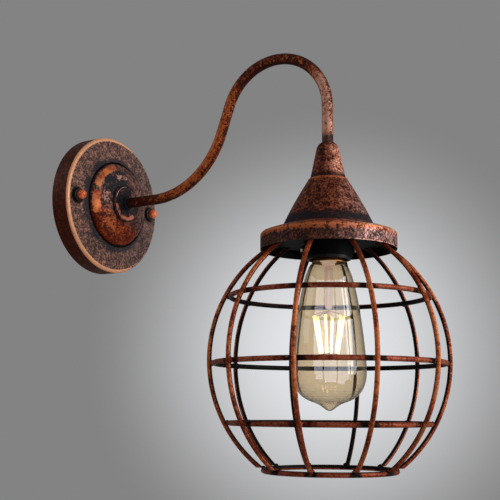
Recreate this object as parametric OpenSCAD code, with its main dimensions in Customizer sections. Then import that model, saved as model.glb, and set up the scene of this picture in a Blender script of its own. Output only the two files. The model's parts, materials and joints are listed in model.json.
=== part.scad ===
// Cage wall light: a round wall plate, a swan-neck tube, a cone shade and a wire cage round a bulb.
// +X is to the right seen from the room, -Y points out of the wall, +Z is up, in millimetres.
// The origin is the centre of the wall plate's rear plane, on the wall.

/* [Wall plate] */
// Diameter of the wall plate
plate_d = 136.6; // [118:0.2:180]
// Depth of its rim, from the wall to the edge of its face
plate_depth = 19.6; // [15:0.1:24]
// Rounding of the rim's front edge
plate_edge_r = 2.6; // [1:0.1:4]
// Width of the face, from the rim to the groove
face_w = 25.3; // [18:0.1:31]
// How far the face rises from the rim to the top of its lip
face_rise = 3.9; // [3:0.1:8]
// Width of the lip that rises along the groove
lip_w = 6; // [3:0.1:9]
// How much of the rise comes before that lip
lip_foot_rise = 0.5; // [0:0.1:2]
// Width of the groove round the centre dome
groove_w = 2; // [1:0.1:3]
// Depth of that groove
groove_depth = 3; // [2:0.1:4]
// Thickness of all pressed sheet
sheet = 1.5; // [1:0.1:1.8]

/* [Centre dome] */
// Straight rim at the dome's foot
dome_foot_h = 2.9; // [1:0.1:4]
// Height of the dome's bulging flank
flank_h = 6.8; // [4:0.1:9]
// Width of that flank
flank_w = 10; // [7:0.1:13]
// Height of the sloping top above the flank
dome_top_h = 3; // [1:0.1:5]
// Diameter of the collar on the dome
collar_d = 38; // [28:0.2:42]
// Thickness of the collar's disc
collar_h = 2.6; // [2:0.1:4]
// Diameter of the collar's hub round the arm
hub_d = 13; // [12:0.1:18]
// Height of that hub above the disc
hub_h = 3.2; // [1:0.1:6]

/* [Wall bracket] */
// Distance from the plate's rim to the centre of each cap nut
stud_inset = 13.4; // [12:0.1:15]
// Diameter of the studs
stud_d = 4; // [4:0.5:5]
// Width of the bracket's bar
bar_w = 26; // [24:0.5:34]
// Thickness of the bar
bar_t = 2; // [1.5:0.1:2.5]
// Distance between the wall screws
wall_screw_spacing = 70; // [66:0.5:76]
// Diameter of the wall screw holes
wall_screw_d = 5.2; // [4:0.1:5.5]
// Diameter of the hole for the house cable
cable_hole_d = 16; // [10:0.5:18]

/* [Cap nuts] */
// Diameter of each nut's base
nut_base_d = 12.4; // [9:0.1:13]
// Height of the base
nut_base_h = 2.4; // [2:0.1:6]
// Diameter of the ball
ball_d = 9.2; // [7:0.1:10]
// Distance from the base's foot to the ball's centre
ball_h = 5.4; // [4.5:0.1:10]

/* [Arm] */
// Outer diameter of the tube
arm_d = 10; // [9.5:0.1:12]
// Wall of the tube
arm_wall = 1; // [0.8:0.1:1.2]
// Distance from the wall to the lamp's axis
arm_reach = 261.9; // [240:0.1:340]
// Bend radius of the lower curve
lower_bend_r = 82.2; // [60:0.1:90]
// Angle to which the lower curve rises
rise_angle = 70.6; // [55:0.1:80]
// Straight length between the two curves
arm_straight = 27.6; // [5:0.1:45]
// Bend radius over the top
upper_bend_r = 53.5; // [40:0.1:62]
// Straight drop seen between the top curve and the small cone
arm_drop = 32.3; // [10:0.1:60]
// Diameter of the insulated leads inside the arm
lead_d = 2.2; // [1.8:0.1:2.4]

/* [Shade] */
// Height of the small cone that covers the joint
cap_h = 34.1; // [25:0.1:45]
// Its radius at the foot
cap_foot_r = 15.5; // [13:0.1:20]
// Half angle of the small cone
cap_angle = 11.6; // [6:0.1:15]
// Rounding of its top
cap_round_r = 9; // [4:0.1:10]
// Radius of the shade at the top of its cone
cone_top_r = 17.6; // [17:0.1:24]
// Radius at the cone's foot
cone_foot_r = 39.9; // [36:0.1:44]
// Height of the cone
cone_h = 42.4; // [36:0.1:60]
// How far the cone's side swells outwards
cone_swell = 0.9; // [-2:0.1:3]
// Diameter of the brim
brim_d = 118; // [108:0.2:150]
// Slope of the brim's top
brim_slope = 18.5; // [5:0.5:30]
// Rounding of the brim's outer corner
brim_round_r = 2.2; // [1.8:0.1:6]
// Height of the brim's upright side below its rounded corner
brim_side_h = 12.5; // [10:0.1:18]

/* [Socket] */
// Outer diameter of the socket
socket_d = 38; // [37:0.2:41]
// Length of the socket
socket_l = 57.7; // [54:0.1:62]
// Wall of the socket
socket_wall = 2.2; // [1.6:0.1:2.4]
// How far the socket shows below the brim
socket_show = 8.7; // [4:0.1:12]
// Thickness of the collar that grips the socket
grip_wall = 1.5; // [1:0.1:2.5]
// Length of that collar
grip_l = 12; // [9:0.1:13]

/* [Cage] */
// Direction of the first rib, turned from the front
rib_start = -5.6; // [-18:0.1:18]
// Diameter of the rib wire
rib_d = 4; // [3:0.1:5.4]
// Diameter of the ring wire
ring_d = 4.3; // [2.5:0.1:5]
// Largest diameter of the cage, over the ribs' centres
cage_d = 204; // [170:0.5:250]
// Bend radius of each rib
rib_bend_r = 115; // [95:0.5:140]
// Diameter of the ring at the bottom
mouth_d = 111; // [90:0.5:135]
// Height of the upper ring above the cage's widest level
upper_ring_z = 52.9; // [45:0.1:65]
// Height of the middle ring above that level
middle_ring_z = -3.7; // [-10:0.1:10]
// Height of the lower ring above that level
lower_ring_z = -53.6; // [-65:0.1:-40]
// How far the collar's plate lies above the brim's lower edge
plate_lift = 6; // [5:0.1:8]

/* [Bulb] */
// Largest diameter of the glass
bulb_d = 63.5; // [54:0.1:80]
// Length of the glass below the metal cap, without its tip
glass_l = 120.2; // [105:0.1:145]
// Length of the glass tip
tip_l = 6; // [2:0.1:8]
// Length of the rounded end, from the widest level
bowl_l = 30.4; // [25:0.1:38]
// Thickness of the glass
glass_t = 0.8; // [0.6:0.1:1]
// Length of the screw cap
screw_cap_l = 27; // [25:0.1:28]
// Outer diameter of the screw cap
screw_cap_d = 26.2; // [26:0.1:26.4]
// Number of filaments
filament_count = 6; // [4:1:8]

/* [Hidden] */
$fn = 96;

// Clearances
fit_gap = 0.05; // a threaded or pushed fit, on the radius
slip_gap = 0.15; // a hole that a part passes through, on the radius
weld_gap = 0.05; // between two wires that are welded
lead_gap = 0.3; // between a lead's cut end and the metal it is fixed to
bulb_gap = 0.35; // between the screw cap and the socket's shell, on the radius

// Fasteners
washer_t = 1.5;
washer_r = 9;
lock_nut_h = 4;
lock_nut_flats = 14;
stud_nut_flats = 7;
stud_nut_h = 3.2;
small_screw_r = 1.5;
screw_head_r = 2.3;
screw_head_h = 1.8;
slot_w = 0.8;
slot_depth = 0.7;

// Wall plate, measured outwards from the wall
plate_r = plate_d / 2;
face_in_r = plate_r - face_w;
dome_r = face_in_r - groove_w;
face_top_h = plate_depth + face_rise;
floor_h = face_top_h - groove_depth;
floor_under_h = floor_h - sheet;
arm_r = arm_d / 2;
arm_bore_r = arm_r - arm_wall;
arm_hole_r = arm_r + slip_gap;
arm_thread_r = arm_r + fit_gap;

// Centre dome and collar
flank_top_r = dome_r - flank_w;
dome_top_r = collar_d / 2 + 1;
dome_h = floor_h + dome_foot_h + flank_h + dome_top_h;
arm_nut_h = floor_under_h - washer_t - lock_nut_h;
arm_end_h = arm_nut_h - 1;

// Studs and cap nuts: each nut sits on a small flat pad pressed into the face
stud_x = plate_r - stud_inset;
stud_r = stud_d / 2;
slope_w = face_w - plate_edge_r - lip_w;
stud_lift_h = plate_depth + lip_foot_rise * (plate_r - plate_edge_r - stud_x) / slope_w;
pad_h = stud_lift_h + 0.4;
pad_r = nut_base_d / 2 + 0.5;
stud_end_h = pad_h + ball_h - 1.8;
stud_bore_end_h = stud_end_h + 0.6;

// Wall bracket
bar_end_x = stud_x + 7;
wall_screw_x = wall_screw_spacing / 2;
block_l = 16; // the terminal block's length along the bar
block_w = 19;
block_h = 12;
block_x = -(cable_hole_d / 2 + 5.5 + block_l / 2);
pole_z = 4.5; // half the distance between the two poles
pole_h = bar_t + block_h / 2;
sleeve_r = 2.6;
sleeve_bore_r = 1.6;
sleeve_l = 10;
earth_x = cable_hole_d / 2 + 13;
earth_r = 2;
tag_t = 0.8;
tag_r = 3.8;

// Arm: the lower curve turns up from the straight stub, the upper one comes over and down
arm_climb = lower_bend_r * (1 - cos(rise_angle)) + arm_straight * sin(rise_angle);
arm_run = lower_bend_r * sin(rise_angle) + arm_straight * cos(rise_angle)
    + upper_bend_r * (1 + sin(rise_angle));
stub_end = arm_reach - arm_run;
upper_centre_z = arm_climb - upper_bend_r * cos(rise_angle);
upper_centre_out = arm_reach - upper_bend_r;
joint_reach = 0.5;
joint_slim = 0.03;
lead_side = 1.9; // each lead's distance from the tube's centre
lead_r = lead_d / 2;

// Lamp levels, measured from the flat top of the shade. Whole hundredths let flat faces meet exactly.
shade_z = hundredths(upper_centre_z - arm_drop - cap_h);
brim_r = brim_d / 2;
corner_in_r = brim_r - brim_round_r;
corner_angle = 90 - brim_slope;
slope_run = corner_in_r + brim_round_r * cos(corner_angle) - cone_foot_r;
brim_top_h = hundredths(slope_run * tan(brim_slope) + brim_round_r * sin(corner_angle));
brim_edge_z = -(cone_h + brim_top_h + brim_side_h);
shade_nut_z = -sheet - washer_t - lock_nut_h;
cone_shoulder_r = 1.6;

// Socket levels
socket_z = brim_edge_z - socket_show;
socket_r = socket_d / 2;
socket_in_r = socket_r - socket_wall;
socket_split = 32; // height of the joint between body and cap
spigot_h = 4;
insert_low = 28;
insert_h = 6;
insert_r = socket_in_r - 0.25;
ledge_h = 2;
shell_low = 3;
shell_in_r = screw_cap_d / 2 + bulb_gap;
shell_t = 0.55;
shoulder_low = 44;
shoulder_h = 6.5;
socket_neck_r = arm_r + 3.5;
terminal_x = 9;
terminal_h = 6;
tube_end_z = socket_z + shoulder_low + shoulder_h - 1;
thread_pitch = 3.62;
thread_depth = 0.9;

// Bulb levels: the metal cap's foot hangs just below the socket
bulb_z = socket_z - 2.3;
bulb_r = bulb_d / 2;
cap_r = screw_cap_d / 2;
widest_z = -(glass_l - bowl_l);
neck_r = cap_r + 0.9; // the glass just below the cap's skirt
skirt_r = cap_r + 1.4;
insulator_h = 4.2;
contact_h = 1.5;
stem_tip_z = -40.5;
star_top_z = -45.5;
star_bottom_z = -78.5;
star_top_r = 13.5;
star_bottom_r = 7.8;
support_r = 0.5;
filament_r = 0.9;

// Cage: each rib is one arc that passes just inside the brim and ends on the bottom ring
rib_count = 10;
rib_r = rib_d / 2;
ring_r = ring_d / 2;
cage_r = cage_d / 2;
brim_clear = 0.6;
edge_guess_r = brim_r - sheet - brim_clear - rib_r;
edge_cos = 1 - (cage_r - edge_guess_r) / rib_bend_r;
edge_r = brim_r - sheet - brim_clear - rib_r / edge_cos;
edge_angle = acos(1 - (cage_r - edge_r) / rib_bend_r);
cage_z = brim_edge_z - rib_bend_r * sin(edge_angle);
rib_centre_r = cage_r - rib_bend_r;
grip_plate_z = brim_edge_z + plate_lift;
rib_top_angle = asin((grip_plate_z - cage_z) / rib_bend_r);
rib_top_r = rib_centre_r + rib_bend_r * cos(rib_top_angle);
mouth_r = mouth_d / 2;
mouth_angle = acos(1 - (cage_r - mouth_r) / rib_bend_r);
mouth_z = cage_z - rib_bend_r * sin(mouth_angle);
ring_bend_r = rib_bend_r - rib_r - ring_r - weld_gap;
grip_r = socket_r + slip_gap + grip_wall;
grip_plate_r = rib_top_r + 2 * rib_r + 1;
grip_screw_z = grip_plate_z - 5.4;
grip_boss_r = 3.2; // the thickened spot that takes each collar screw
grip_boss_end = grip_r + 1.8;
grip_screw_turn = 32.4;

function hundredths(v) = round(100 * v) / 100;
// Points along an arc, in the plane of the outline
function arc(c, r, a0, a1, n) = [for (i = [0 : n]) c + r * [cos(a0 + (a1 - a0) * i / n),
                                                            sin(a0 + (a1 - a0) * i / n)]];
// Points along a cubic curve between p0 and p3
function curve(p0, p1, p2, p3, n) = [for (i = [0 : n]) let (t = i / n, s = 1 - t)
    s * s * s * p0 + 3 * s * s * t * p1 + 3 * s * t * t * p2 + t * t * t * p3];
function unit(v) = v / norm(v);
function turn_right(v) = [v[1], -v[0]];
function reversed(pts) = [for (i = [len(pts) - 1 : -1 : 0]) pts[i]];
function heading(pts, i) = unit(pts[min(i + 1, len(pts) - 1)] - pts[min(i, len(pts) - 2)]);
// The outline moved to its right by t, with mitred corners
function inset(pts, t) = [for (i = [0 : len(pts) - 1])
    let (a = turn_right(heading(pts, max(i - 1, 0))), b = turn_right(heading(pts, i)),
         m = unit(a + b), p = pts[i] + m * t / (m * a)) [max(p[0], 0), p[1]]];

// A sheet pressing: the outline turned about the vertical axis, t thick towards its right
module pressing(outline, t = sheet) {
    rotate_extrude() polygon(concat(outline, reversed(inset(outline, t))));
}

// Wire of 8 sides swept along points in space, its ring turned as little as possible
module sweep(pts, r, sides = 8) {
    n = len(pts);
    dirs = [for (i = [0 : n - 1]) unit(pts[min(i + 1, n - 1)] - pts[max(i - 1, 0)])];
    side0 = unit(cross(dirs[0], [0.31, 0.87, 0.38]));
    across = [for (i = 0, v = side0; i < n; v = i + 1 < n
        ? unit(v - (v * dirs[i + 1]) * dirs[i + 1]) : v, i = i + 1) v];
    verts = [for (i = [0 : n - 1]) for (k = [0 : sides - 1])
        pts[i] + r * (across[i] * cos(360 * k / sides)
                      + cross(dirs[i], across[i]) * sin(360 * k / sides))];
    start_face = [[for (k = [0 : sides - 1]) k]];
    end_face = [[for (k = [sides - 1 : -1 : 0]) (n - 1) * sides + k]];
    side_faces = [for (i = [0 : n - 2]) for (k = [0 : sides - 1]) let (j = (k + 1) % sides)
        each [[i * sides + k, (i + 1) * sides + j, i * sides + j],
              [i * sides + k, (i + 1) * sides + k, (i + 1) * sides + j]]];
    polyhedron(verts, concat(start_face, side_faces, end_face));
}

module rod(p, q, r) {
    d = q - p;
    translate(p)
        rotate([0, acos(d[2] / norm(d)), atan2(d[1], d[0])])
            cylinder(h = norm(d), r = r, $fn = 24);
}

module ring_disc(outer_r, bore_r, h) {
    difference() {
        cylinder(h = h, r = outer_r);
        translate([0, 0, -1]) cylinder(h = h + 2, r = bore_r);
    }
}

module hex_nut(flats, h, bore_r) {
    difference() {
        cylinder(h = h, r = flats / sqrt(3), $fn = 6);
        translate([0, 0, -1]) cylinder(h = h + 2, r = bore_r, $fn = 48);
    }
}

// A slotted screw with the foot of its head at z = 0 and its shank below
module slotted_screw(shank_r, shank_l, head_r, head_h) {
    difference() {
        union() {
            cylinder(h = head_h, r = head_r, $fn = 48);
            translate([0, 0, -shank_l]) cylinder(h = shank_l + 0.1, r = shank_r, $fn = 48);
        }
        translate([-head_r - 1, -slot_w / 2, head_h - slot_depth])
            cube([2 * head_r + 2, slot_w, slot_depth + 1]);
    }
}

// Local z points out of the wall, local y up
module from_wall(h = 0) { rotate([90, 0, 0]) translate([0, 0, h]) children(); }
// Local z = 0 is the flat top of the shade, on the lamp's axis
module at_lamp(z = 0) { translate([0, -arm_reach, shade_z + z]) children(); }

// ---- wall bracket and what it carries ----

module wall_bracket() {
    color("#8f8f8c") from_wall() difference() {
        intersection() {
            translate([-bar_end_x, -bar_w / 2, 0]) cube([2 * bar_end_x, bar_w, bar_t]);
            cylinder(h = bar_t, r = plate_r - sheet - 3);
        }
        translate([0, 0, -1]) cylinder(h = bar_t + 2, r = cable_hole_d / 2);
        for (side = [-1, 1]) {
            translate([side * wall_screw_x, 0, -1]) cylinder(h = bar_t + 2, r = wall_screw_d / 2);
            translate([side * stud_x, 0, -1]) cylinder(h = bar_t + 2, r = stud_r + fit_gap);
        }
        translate([block_x, 0, -1]) cylinder(h = bar_t + 2, r = small_screw_r + fit_gap);
        translate([earth_x, 0, -1]) cylinder(h = bar_t + 2, r = earth_r + fit_gap);
    }
}

module bracket_studs() {
    color("#b9b4a6") from_wall() for (side = [-1, 1])
        translate([side * stud_x, 0, 0.1]) cylinder(h = stud_end_h - 0.1, r = stud_r);
}

module stud_lock_nuts() {
    color("#b9b4a6") from_wall(bar_t) for (side = [-1, 1])
        translate([side * stud_x, 0, 0]) hex_nut(stud_nut_flats, stud_nut_h, stud_r + fit_gap);
}

module terminal_block() {
    color("#d9d6cc") from_wall() difference() {
        translate([block_x - block_l / 2, -block_w / 2, bar_t]) cube([block_l, block_w, block_h]);
        for (side = [-1, 1]) {
            translate([block_x - block_l, side * pole_z, pole_h])
                rotate([0, 90, 0]) cylinder(h = 2 * block_l, r = sleeve_r + fit_gap);
            for (end = [-1, 1])
                translate([block_x + end * sleeve_l / 4, side * pole_z, pole_h])
                    cylinder(h = block_h, r = small_screw_r + slip_gap);
        }
        translate([block_x, 0, bar_t - 1]) cylinder(h = block_h + 2, r = small_screw_r + fit_gap);
        translate([block_x, 0, bar_t + block_h - screw_head_h])
            cylinder(h = block_h, r = 1.8 + slip_gap);
    }
}

module terminal_sleeves() {
    color("#c9a24a") from_wall() for (side = [-1, 1])
        translate([block_x - sleeve_l / 2, side * pole_z, pole_h]) difference() {
            rotate([0, 90, 0]) ring_disc(sleeve_r, sleeve_bore_r, sleeve_l);
            for (end = [1, 3])
                translate([end * sleeve_l / 4, 0, 0]) cylinder(h = 5, r = small_screw_r + fit_gap);
        }
}

module terminal_screws() {
    color("#b9b4a6") from_wall(pole_h + sleeve_bore_r - 0.3)
        for (side = [-1, 1]) for (end = [-1, 1])
            translate([block_x + end * sleeve_l / 4, side * pole_z, 0]) difference() {
                cylinder(h = 3.4, r = small_screw_r, $fn = 48);
                translate([-3, -slot_w / 2, 3.4 - slot_depth]) cube([6, slot_w, 2]);
            }
}

module block_screw() {
    color("#b9b4a6") from_wall(bar_t + block_h - screw_head_h) translate([block_x, 0, 0])
        slotted_screw(small_screw_r, block_h - screw_head_h + bar_t - 0.1, 1.8, screw_head_h);
}

module earth_screw() {
    color("#c9a24a") from_wall(bar_t + tag_t)
        translate([earth_x, 0, 0]) slotted_screw(earth_r, bar_t + tag_t - 0.1, 3.4, 2.2);
}

// One tag under the earth screw and one under the arm's washer, each with a tongue for the lead
module earth_tags() {
    color("#c9a24a") from_wall() {
        translate([earth_x, 0, bar_t]) difference() {
            union() {
                cylinder(h = tag_t, r = tag_r);
                translate([0, -1.5, 0]) cube([tag_r + 4, 3, tag_t]);
            }
            translate([0, 0, -1]) cylinder(h = tag_t + 2, r = earth_r + slip_gap);
        }
        translate([0, 0, floor_under_h - tag_t]) difference() {
            union() {
                cylinder(h = tag_t, r = washer_r);
                translate([0, -1.5, 0]) cube([washer_r + 5, 3, tag_t]);
            }
            translate([0, 0, -1]) cylinder(h = tag_t + 2, r = arm_hole_r);
        }
    }
}

module earth_lead() {
    top = [washer_r + 3.4, 0, floor_under_h - tag_t - lead_gap];
    foot = [earth_x + tag_r + 2.4, 0, bar_t + tag_t + lead_gap];
    color("#3f7d3a") from_wall()
        sweep(curve(top, top - [0, 0, 7], foot + [0, 0, 8], foot, 12), lead_r);
}

// ---- wall plate, dome, collar and cap nuts ----

module wall_plate() {
    lip_foot = [face_in_r + lip_w, plate_depth + lip_foot_rise];
    lip_top = [face_in_r, face_top_h];
    past_foot = lip_foot + 0.4 * lip_w * [1, -lip_foot_rise / slope_w];
    outline = concat(
        [[arm_hole_r, floor_h], [face_in_r, floor_h], lip_top],
        curve((lip_top + lip_foot) / 2, lip_foot, lip_foot, past_foot, 6),
        arc([plate_r - plate_edge_r, plate_depth - plate_edge_r], plate_edge_r, 86, 0, 8),
        [[plate_r, 0]]);
    color("#6b4636") from_wall() difference() {
        union() {
            pressing(outline);
            for (side = [-1, 1]) translate([side * stud_x, 0, pad_h - sheet - 2])
                cylinder(h = sheet + 2, r = pad_r);
        }
        for (side = [-1, 1]) translate([side * stud_x, 0, 0]) {
            translate([0, 0, pad_h]) cylinder(h = 10, r = pad_r);
            translate([0, 0, pad_h - 10]) cylinder(h = 20, r = stud_r + slip_gap);
        }
    }
}

module centre_dome() {
    flank_foot = floor_h + dome_foot_h;
    outline = concat(
        [[arm_hole_r, dome_h], [dome_top_r, dome_h]],
        curve([flank_top_r, flank_foot + flank_h], [flank_top_r + 5, flank_foot + flank_h - 1.4],
              [dome_r, flank_foot + 4], [dome_r, flank_foot], 10),
        [[dome_r, floor_h]]);
    color("#70432f") from_wall() pressing(outline);
}

module arm_collar() {
    outline = concat(
        [[arm_thread_r, 0]],
        [[collar_d / 2 - 0.5, 0]],
        arc([collar_d / 2 - 1.3, collar_h - 1.3], 1.3, 0, 90, 6),
        [[collar_d / 2 - 4, collar_h], [hub_d / 2 + 1.5, collar_h - 0.8]],
        [[hub_d / 2, collar_h + 0.4], [hub_d / 2, collar_h + hub_h - 1]],
        [[hub_d / 2 - 1, collar_h + hub_h], [arm_thread_r, collar_h + hub_h]]);
    color("#7a4a35") from_wall(dome_h) rotate_extrude() polygon(outline);
}

module ball_nut(side) {
    outline = concat(
        [[0, 0], [nut_base_d / 2, 0]],
        arc([nut_base_d / 2 - 0.9, nut_base_h - 0.9], 0.9, 0, 90, 5),
        [[ball_d / 2 - 0.9, nut_base_h + 0.5], [ball_d / 2 - 1.2, ball_h], [0, ball_h]]);
    color("#a15c3c") from_wall(pad_h) translate([side * stud_x, 0, 0]) difference() {
        union() {
            rotate_extrude() polygon(outline);
            translate([0, 0, ball_h]) sphere(d = ball_d);
        }
        translate([0, 0, -1]) cylinder(h = 1 + stud_bore_end_h - pad_h, r = stud_r + fit_gap);
    }
}

module ball_nut_left() { ball_nut(-1); }
module ball_nut_right() { ball_nut(1); }

module arm_washer() {
    color("#b9b4a6") from_wall(floor_under_h - washer_t)
        ring_disc(washer_r, arm_hole_r, washer_t - tag_t);
}

module arm_lock_nut() {
    color("#b9b4a6") from_wall(arm_nut_h) hex_nut(lock_nut_flats, lock_nut_h, arm_thread_r);
}

// ---- arm and leads ----

// The tube's route: stub, lower curve, straight, upper curve and drop, as one swept section.
// The straight is a hair slimmer and reaches a little into both curves, so that they join cleanly.
module arm_sweep(r, start_h) {
    translate([0, -stub_end, 0]) rotate([-90, 0, 0]) cylinder(h = stub_end - start_h, r = r);
    translate([0, -stub_end, lower_bend_r]) rotate([0, -90, 0]) rotate([0, 0, 180])
        rotate_extrude(angle = rise_angle) translate([lower_bend_r, 0]) circle(r = r);
    translate([0, -upper_centre_out, upper_centre_z]) rotate([0, -90, 0])
        rotate([0, 0, rise_angle]) translate([upper_bend_r, -joint_reach, 0])
            rotate([-90, 0, 0]) cylinder(h = arm_straight + 2 * joint_reach, r = r - joint_slim);
    translate([0, -upper_centre_out, upper_centre_z]) rotate([0, -90, 0])
        rotate([0, 0, -90]) rotate_extrude(angle = 90 + rise_angle)
            translate([upper_bend_r, 0]) circle(r = r);
    translate([0, -arm_reach, upper_centre_z]) rotate([180, 0, 0])
        cylinder(h = upper_centre_z - tube_end_z - shade_z, r = r);
}

module arm_tube() {
    color("#59382c") difference() {
        arm_sweep(arm_r, arm_end_h);
        arm_sweep(arm_bore_r, arm_end_h - 1);
        at_lamp(tube_end_z - 1) cylinder(h = 5, r = arm_bore_r);
    }
}

// The centreline of the arm as points in space, x to the side
function arm_route(x) = concat(
    [for (h = [arm_end_h + 1 : 12 : stub_end - 4]) [x, -h, 0]],
    [for (a = [0 : 7.06 : rise_angle + 0.01])
        [x, -stub_end - lower_bend_r * sin(a), lower_bend_r * (1 - cos(a))]],
    [for (a = [rise_angle : -10.04 : -90])
        [x, -upper_centre_out + upper_bend_r * sin(a), upper_centre_z + upper_bend_r * cos(a)]],
    [for (z = [upper_centre_z - 4 : -12 : shade_z + tube_end_z + 4]) [x, -arm_reach, z]]);

module lead(side, pole) {
    x = side * lead_side;
    block_in = [block_x + block_l / 2, -pole_h, pole * pole_z];
    out_h = arm_end_h + 0.5;
    terminal = [side * terminal_x, -arm_reach,
                shade_z + socket_z + insert_low + insert_h + terminal_h + lead_gap];
    tube_mouth = [x, -arm_reach, shade_z + tube_end_z + 1];
    pts = concat(
        curve(block_in - [4.5, 0, 0], block_in + [4, 0, 0], [x, 6 - out_h, 0], [x, -out_h, 0], 10),
        arm_route(x),
        curve(tube_mouth, tube_mouth - [0, 0, 6], terminal + [0, 0, 6], terminal, 8));
    sweep(pts, lead_r);
}

module lead_live() { color("#7a3b25") lead(-1, 1); }
module lead_neutral() { color("#2d5f9a") lead(1, -1); }

// ---- small cone, shade and their fixings ----

module neck_cap() {
    round_z = cap_h - cap_round_r;
    round_c = [cap_foot_r - (round_z + cap_round_r * sin(cap_angle)) * tan(cap_angle)
               - cap_round_r * cos(cap_angle), round_z];
    rim_angle = acos(max((arm_hole_r - round_c[0]) / cap_round_r, -1));
    outline = concat(
        arc(round_c, cap_round_r, rim_angle, cap_angle, 8),
        [[cap_foot_r, 0.6], [cap_foot_r, 0]]);
    color("#a0603f") at_lamp() difference() {
        pressing(outline);
        cylinder(h = cap_h + 1, r = arm_hole_r);
    }
}

module upper_lock_nut() {
    color("#b9b4a6") at_lamp() hex_nut(lock_nut_flats, lock_nut_h, arm_thread_r);
}

module shade() {
    side = [for (i = [0 : 10]) let (t = i / 10)
        [cone_top_r + (cone_foot_r - cone_top_r) * t + 4 * cone_swell * t * (1 - t),
         -cone_shoulder_r - (cone_h - cone_shoulder_r) * t]];
    corner = [corner_in_r, brim_edge_z + brim_side_h];
    outline = concat(
        [[arm_hole_r, 0]],
        arc([cone_top_r - cone_shoulder_r, -cone_shoulder_r], cone_shoulder_r, 90, 15, 4),
        side,
        arc(corner, brim_round_r, corner_angle, 0, 8),
        [[brim_r, brim_edge_z]]);
    color("#6f4534") at_lamp() pressing(outline);
}

module shade_washer() {
    color("#b9b4a6") at_lamp(-sheet - washer_t) ring_disc(washer_r, arm_hole_r, washer_t);
}

module lower_lock_nut() {
    color("#b9b4a6") at_lamp(shade_nut_z) hex_nut(lock_nut_flats, lock_nut_h, arm_thread_r);
}

// ---- socket ----

module socket_cap() {
    neck_low = shoulder_low + shoulder_h;
    color("#171718") at_lamp(socket_z) difference() {
        rotate_extrude() polygon(concat(
            [[0, socket_split], [socket_r, socket_split]],
            arc([socket_r - shoulder_h, shoulder_low], shoulder_h, 0, 70, 7),
            [[socket_neck_r, neck_low], [socket_neck_r, socket_l], [0, socket_l]]));
        rotate_extrude() polygon(concat(
            [[0, socket_split - 1], [socket_in_r + 1, socket_split - 1],
             [socket_in_r + 1, socket_split + spigot_h + 0.5],
             [socket_in_r, socket_split + spigot_h + 1.5]],
            arc([socket_r - shoulder_h, shoulder_low], shoulder_h - socket_wall, 0, 70, 7),
            [[0, neck_low - socket_wall]]));
        cylinder(h = socket_l + 1, r = arm_thread_r);
    }
}

module socket_body() {
    ledge_r = shell_in_r + shell_t + 0.6;
    color("#171718") at_lamp(socket_z) difference() {
        union() {
            cylinder(h = socket_split - 0.4, r = socket_r);
            cylinder(h = socket_split + spigot_h, r = socket_in_r + 0.9);
        }
        translate([0, 0, -1]) cylinder(h = insert_low - ledge_h + 1, r = socket_in_r);
        translate([0, 0, -1]) cylinder(h = insert_low + 2, r = ledge_r);
        translate([0, 0, insert_low]) cylinder(h = 20, r = socket_in_r);
        translate([0, 0, -socket_z]) at_collar_screws(socket_r - 0.9)
            cylinder(h = 5, r = small_screw_r + slip_gap);
    }
}

module socket_insert() {
    color("#e6e2d8") at_lamp(socket_z + insert_low) cylinder(h = insert_h, r = insert_r);
}

module socket_terminals() {
    color("#c9a24a") at_lamp(socket_z + insert_low + insert_h)
        for (side = [-1, 1]) translate([side * terminal_x - 3, -3.5, 0])
            cube([6, 7, terminal_h - 0.1]);
}

// Height of the thread's wave, 0 at its root and 1 at its crest
function wave(z) = (1 - cos(360 * z / thread_pitch)) / 2;

module screw_shell() {
    l = insert_low - shell_low;
    out = [for (z = [0 : thread_pitch / 8 : l]) [shell_in_r + shell_t + 0.5 * wave(z), z]];
    color("#c9a24a") at_lamp(socket_z + shell_low) rotate_extrude() polygon(concat(
        [[shell_in_r, l], [shell_in_r, 0]], out, [[shell_in_r + shell_t, l]]));
}

module centre_contact() {
    gap = insert_low + 2.3 - screw_cap_l - 0.3;
    color("#c9a24a") at_lamp(socket_z + insert_low - gap) difference() {
        translate([-4, -2.5, 0]) cube([8, 5, gap]);
        translate([-4.6, -3, 0.6]) cube([7.6, 6, gap - 1.2]);
    }
}

// ---- cage ----

// Local z runs out from the lamp's axis at each of the two collar screws, from radius r
module at_collar_screws(r) {
    translate([0, 0, grip_screw_z]) for (side = [0, 180])
        rotate([0, 90, grip_screw_turn - 90 + side]) translate([0, 0, r]) children();
}

module cage_collar() {
    outline = [[grip_r - grip_wall, grip_plate_z - grip_l], [grip_r, grip_plate_z - grip_l],
               [grip_r, grip_plate_z], [grip_plate_r, grip_plate_z],
               [grip_plate_r, grip_plate_z + sheet], [grip_r - grip_wall, grip_plate_z + sheet]];
    color("#1d1a19") at_lamp() difference() {
        union() {
            rotate_extrude() polygon(outline);
            at_collar_screws(grip_r - 0.8) cylinder(h = grip_boss_end - grip_r + 0.8, r = grip_boss_r);
        }
        at_collar_screws(socket_r - 1) cylinder(h = 8, r = small_screw_r + fit_gap);
    }
}

module collar_screws() {
    color("#b9b4a6") at_lamp() at_collar_screws(grip_boss_end + 0.05) slotted_screw(
        small_screw_r, grip_boss_end - socket_r + 0.85, screw_head_r, screw_head_h);
}

// One rib, cut flat where it meets the collar's plate above and the bottom ring below
module rib(number) {
    turn = rib_start + (number - 1) * 360 / rib_count;
    low = mouth_z + ring_r + weld_gap;
    color("#8a4a2e") at_lamp() rotate([0, 0, turn - 90]) difference() {
        translate([rib_centre_r, 0, cage_z]) rotate([90, 0, 0])
            rotate([0, 0, -mouth_angle]) rotate_extrude(angle = rib_top_angle + mouth_angle + 4)
                translate([rib_bend_r, 0]) circle(r = rib_r);
        translate([0, -50, grip_plate_z - weld_gap]) cube([cage_r, 100, 30]);
        translate([0, -50, low - 30]) cube([cage_r, 100, 30]);
    }
}

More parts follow.
